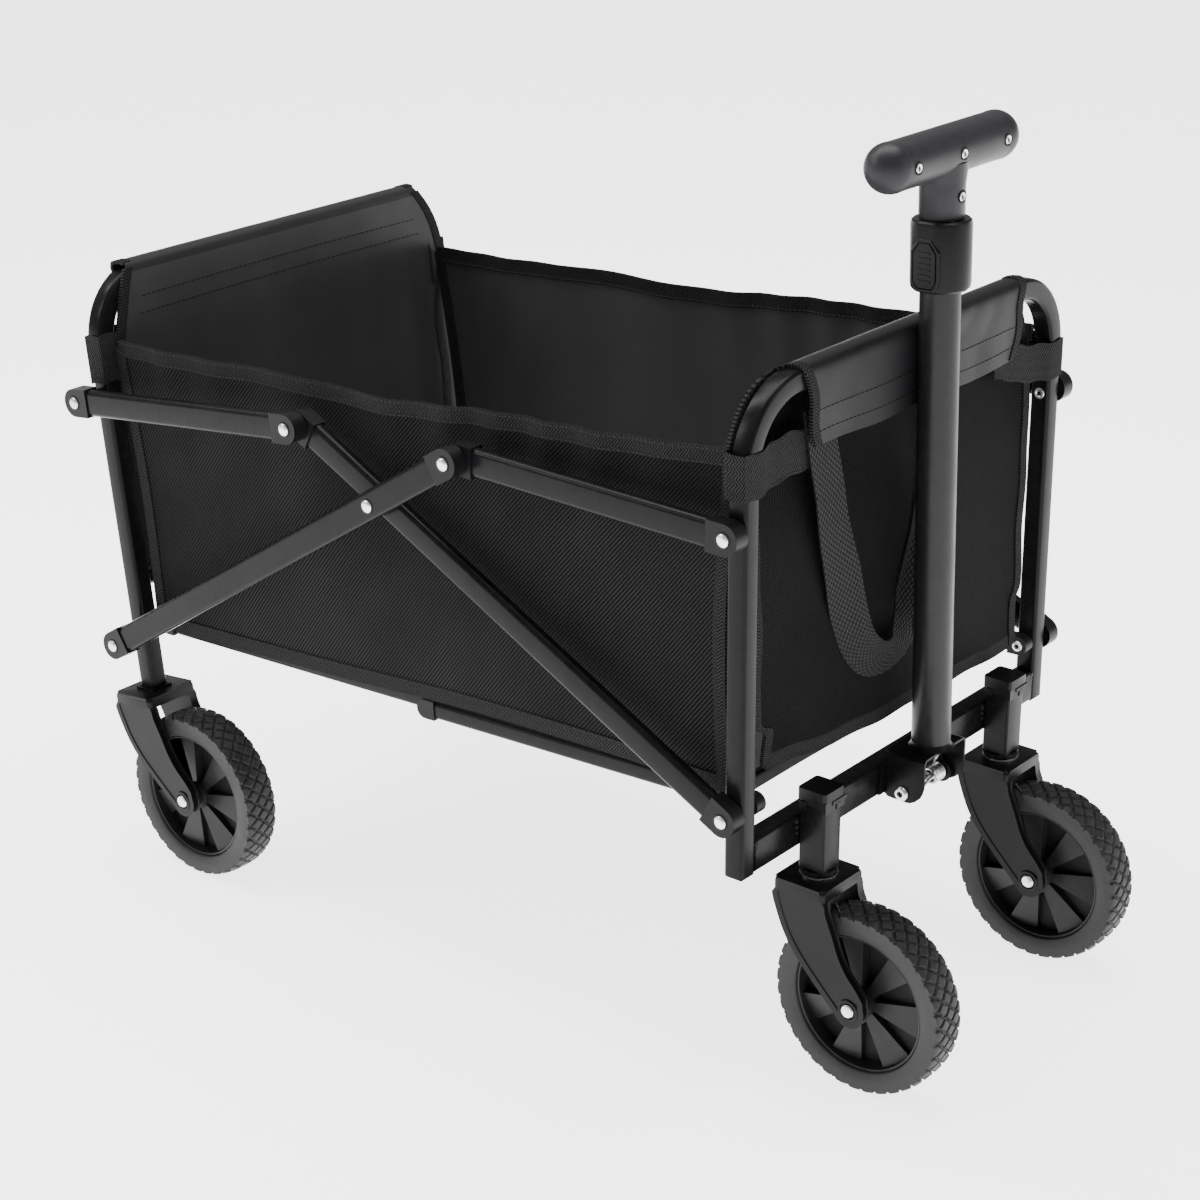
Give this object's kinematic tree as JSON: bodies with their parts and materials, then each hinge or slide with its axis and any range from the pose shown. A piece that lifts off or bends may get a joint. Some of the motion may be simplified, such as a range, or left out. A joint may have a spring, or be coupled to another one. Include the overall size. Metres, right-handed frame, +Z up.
{
  "type": "wagon_with_pull_handle",
  "caption": "Black folding utility wagon: fabric tub in a steel frame with crossed side bars, swivel front casters and an upright telescoping T pull handle.",
  "frame": {"origin": "on the ground, under the middle of the overall length and width", "axes": "+X towards the front (pull-handle end), -Y the near side, +Z up"},
  "size_m": [0.929, 0.5464, 0.7896],
  "materials": {
    "black_frame": "satin",
    "black_plastic": "satin",
    "tyre_rubber": "matte",
    "hub_plastic": "satin",
    "zinc_steel": "satin",
    "bare_tube": "gloss",
    "black_cloth": "matte",
    "black_webbing": "matte"
  },
  "bodies": {
    "rear_frame": {"rear_hoop": "black_frame", "rear_cross_tube": "black_frame", "end_panel_rear": "black_cloth", "floor_cloth": "black_cloth", "fork_rear_near": "black_plastic", "fork_rear_far": "black_plastic", "axle_rear_near": "zinc_steel", "axle_rear_far": "zinc_steel", "side_panel_near": "black_cloth", "side_panel_far": "black_cloth", "corner_tab_rear_near": "black_webbing", "corner_tab_rear_far": "black_webbing"},
    "rear_wheel_near": {"tyre_rear_near": "tyre_rubber", "hub_rear_near": "hub_plastic"},
    "rear_wheel_far": {"tyre_rear_far": "tyre_rubber", "hub_rear_far": "hub_plastic"},
    "rear_diagonals": {"rear_diagonal_near": "black_frame", "rear_diagonal_far": "black_frame"},
    "front_diagonals": {"front_diagonal_near": "black_frame", "front_diagonal_far": "black_frame"},
    "front_frame": {"front_hoop": "black_frame", "front_cross_tube": "black_frame", "end_panel_front": "black_cloth", "front_strap": "black_webbing", "handle_bracket": "black_frame", "handle_bolt": "zinc_steel", "handle_spring": "zinc_steel", "caster_socket_near": "black_frame", "caster_socket_far": "black_frame", "socket_cap_near": "black_plastic", "socket_cap_far": "black_plastic", "corner_tab_front_near": "black_webbing", "corner_tab_front_far": "black_webbing"},
    "rear_upper_bars": {"rear_upper_bar_near": "black_frame", "rear_upper_bar_far": "black_frame"},
    "front_upper_bars": {"front_upper_bar_near": "black_frame", "front_upper_bar_far": "black_frame"},
    "rear_floor": {"rear_floor_link_near": "black_frame", "rear_floor_link_far": "black_frame", "rear_floor_board": "black_cloth"},
    "front_floor": {"front_floor_link_near": "black_frame", "front_floor_link_far": "black_frame", "front_floor_board": "black_cloth"},
    "handle": {"outer_pole": "black_frame", "handle_collar": "black_plastic"},
    "handle_inner": {"inner_tube": "bare_tube", "t_grip": "black_plastic"},
    "button": {"lock_button": "black_plastic"},
    "caster_near": {"fork_front_near": "black_plastic", "caster_stem_near": "zinc_steel", "caster_washer_near": "zinc_steel", "axle_front_near": "zinc_steel"},
    "front_wheel_near": {"tyre_front_near": "tyre_rubber", "hub_front_near": "hub_plastic"},
    "caster_far": {"fork_front_far": "black_plastic", "caster_stem_far": "zinc_steel", "caster_washer_far": "zinc_steel", "axle_front_far": "zinc_steel"},
    "front_wheel_far": {"tyre_front_far": "tyre_rubber", "hub_front_far": "hub_plastic"}
  },
  "joints": [
    {"name": "fold", "type": "hinge", "parent": "rear_frame", "child": "rear_diagonals", "pos_m": [-0.4132, 0, 0.2331], "axis": [0, -1, 0], "range_deg": [0, 48.63], "deforming": ["side_panel_near", "side_panel_far", "floor_cloth"]},
    {"name": "cross_pivot", "type": "hinge", "parent": "rear_diagonals", "child": "front_diagonals", "pos_m": [-0.06324, 0, 0.45615], "axis": [0, -1, 0], "range_deg": [-97.26, 0]},
    {"name": "front_frame_pivot", "type": "hinge", "parent": "front_diagonals", "child": "front_frame", "pos_m": [0.306, 0, 0.2667], "axis": [0, -1, 0], "range_deg": [0, 48.64]},
    {"name": "rear_upper_pivot", "type": "hinge", "parent": "rear_frame", "child": "rear_upper_bars", "pos_m": [-0.4403, 0, 0.47318], "axis": [0, -1, 0], "range_deg": [0, 70.24]},
    {"name": "front_upper_pivot", "type": "hinge", "parent": "front_frame", "child": "front_upper_bars", "pos_m": [0.30457, 0, 0.5083], "axis": [0, -1, 0], "range_deg": [-71.39, 0]},
    {"name": "rear_floor_pivot", "type": "hinge", "parent": "rear_frame", "child": "rear_floor", "pos_m": [-0.4132, 0, 0.2331], "axis": [0, -1, 0], "range_deg": [0, 76.68]},
    {"name": "front_floor_pivot", "type": "hinge", "parent": "front_frame", "child": "front_floor", "pos_m": [0.306, 0, 0.2667], "axis": [0, -1, 0], "range_deg": [-76.68, 0]},
    {"name": "handle_tilt", "type": "hinge", "parent": "front_frame", "child": "handle", "pos_m": [0.3364, 0, 0.2162], "axis": [0, 1, 0], "range_deg": [0, 95], "stiffness_Nm_per_rad": 3, "springref_deg": -22.92},
    {"name": "handle_extend", "type": "slide", "parent": "handle", "child": "handle_inner", "axis": [-0.0288, 0, 0.9996], "range_m": [0, 0.28]},
    {"name": "button_press", "type": "slide", "parent": "handle", "child": "button", "axis": [0, 1, 0], "range_m": [0, 0.0025], "stiffness_N_per_m": 300, "springref_m": -0.0015},
    {"name": "caster_swivel_near", "type": "hinge", "parent": "front_frame", "child": "caster_near", "pos_m": [0.3285, -0.1455, 0.184], "axis": [0, 0, 1], "continuous": true},
    {"name": "front_wheel_spin_near", "type": "hinge", "parent": "caster_near", "child": "front_wheel_near", "pos_m": [0.3815, -0.1455, 0.083], "axis": [0, 1, 0], "continuous": true},
    {"name": "rear_wheel_spin_near", "type": "hinge", "parent": "rear_frame", "child": "rear_wheel_near", "pos_m": [-0.34292, -0.2281, 0.083], "axis": [0, 1, 0], "continuous": true},
    {"name": "caster_swivel_far", "type": "hinge", "parent": "front_frame", "child": "caster_far", "pos_m": [0.3285, 0.1455, 0.184], "axis": [0, 0, 1], "continuous": true},
    {"name": "front_wheel_spin_far", "type": "hinge", "parent": "caster_far", "child": "front_wheel_far", "pos_m": [0.3815, 0.1455, 0.083], "axis": [0, 1, 0], "continuous": true},
    {"name": "rear_wheel_spin_far", "type": "hinge", "parent": "rear_frame", "child": "rear_wheel_far", "pos_m": [-0.34292, 0.2281, 0.083], "axis": [0, 1, 0], "continuous": true}
  ],
  "couplings": [
    {"joint": "cross_pivot", "follows": "fold", "ratio": -2},
    {"joint": "front_frame_pivot", "follows": "fold", "ratio": 1},
    {"joint": "rear_upper_pivot", "follows": "fold", "ratio": 1.4443},
    {"joint": "front_upper_pivot", "follows": "fold", "ratio": -1.4679},
    {"joint": "rear_floor_pivot", "follows": "fold", "ratio": 1.5767},
    {"joint": "front_floor_pivot", "follows": "fold", "ratio": -1.5767}
  ]
}
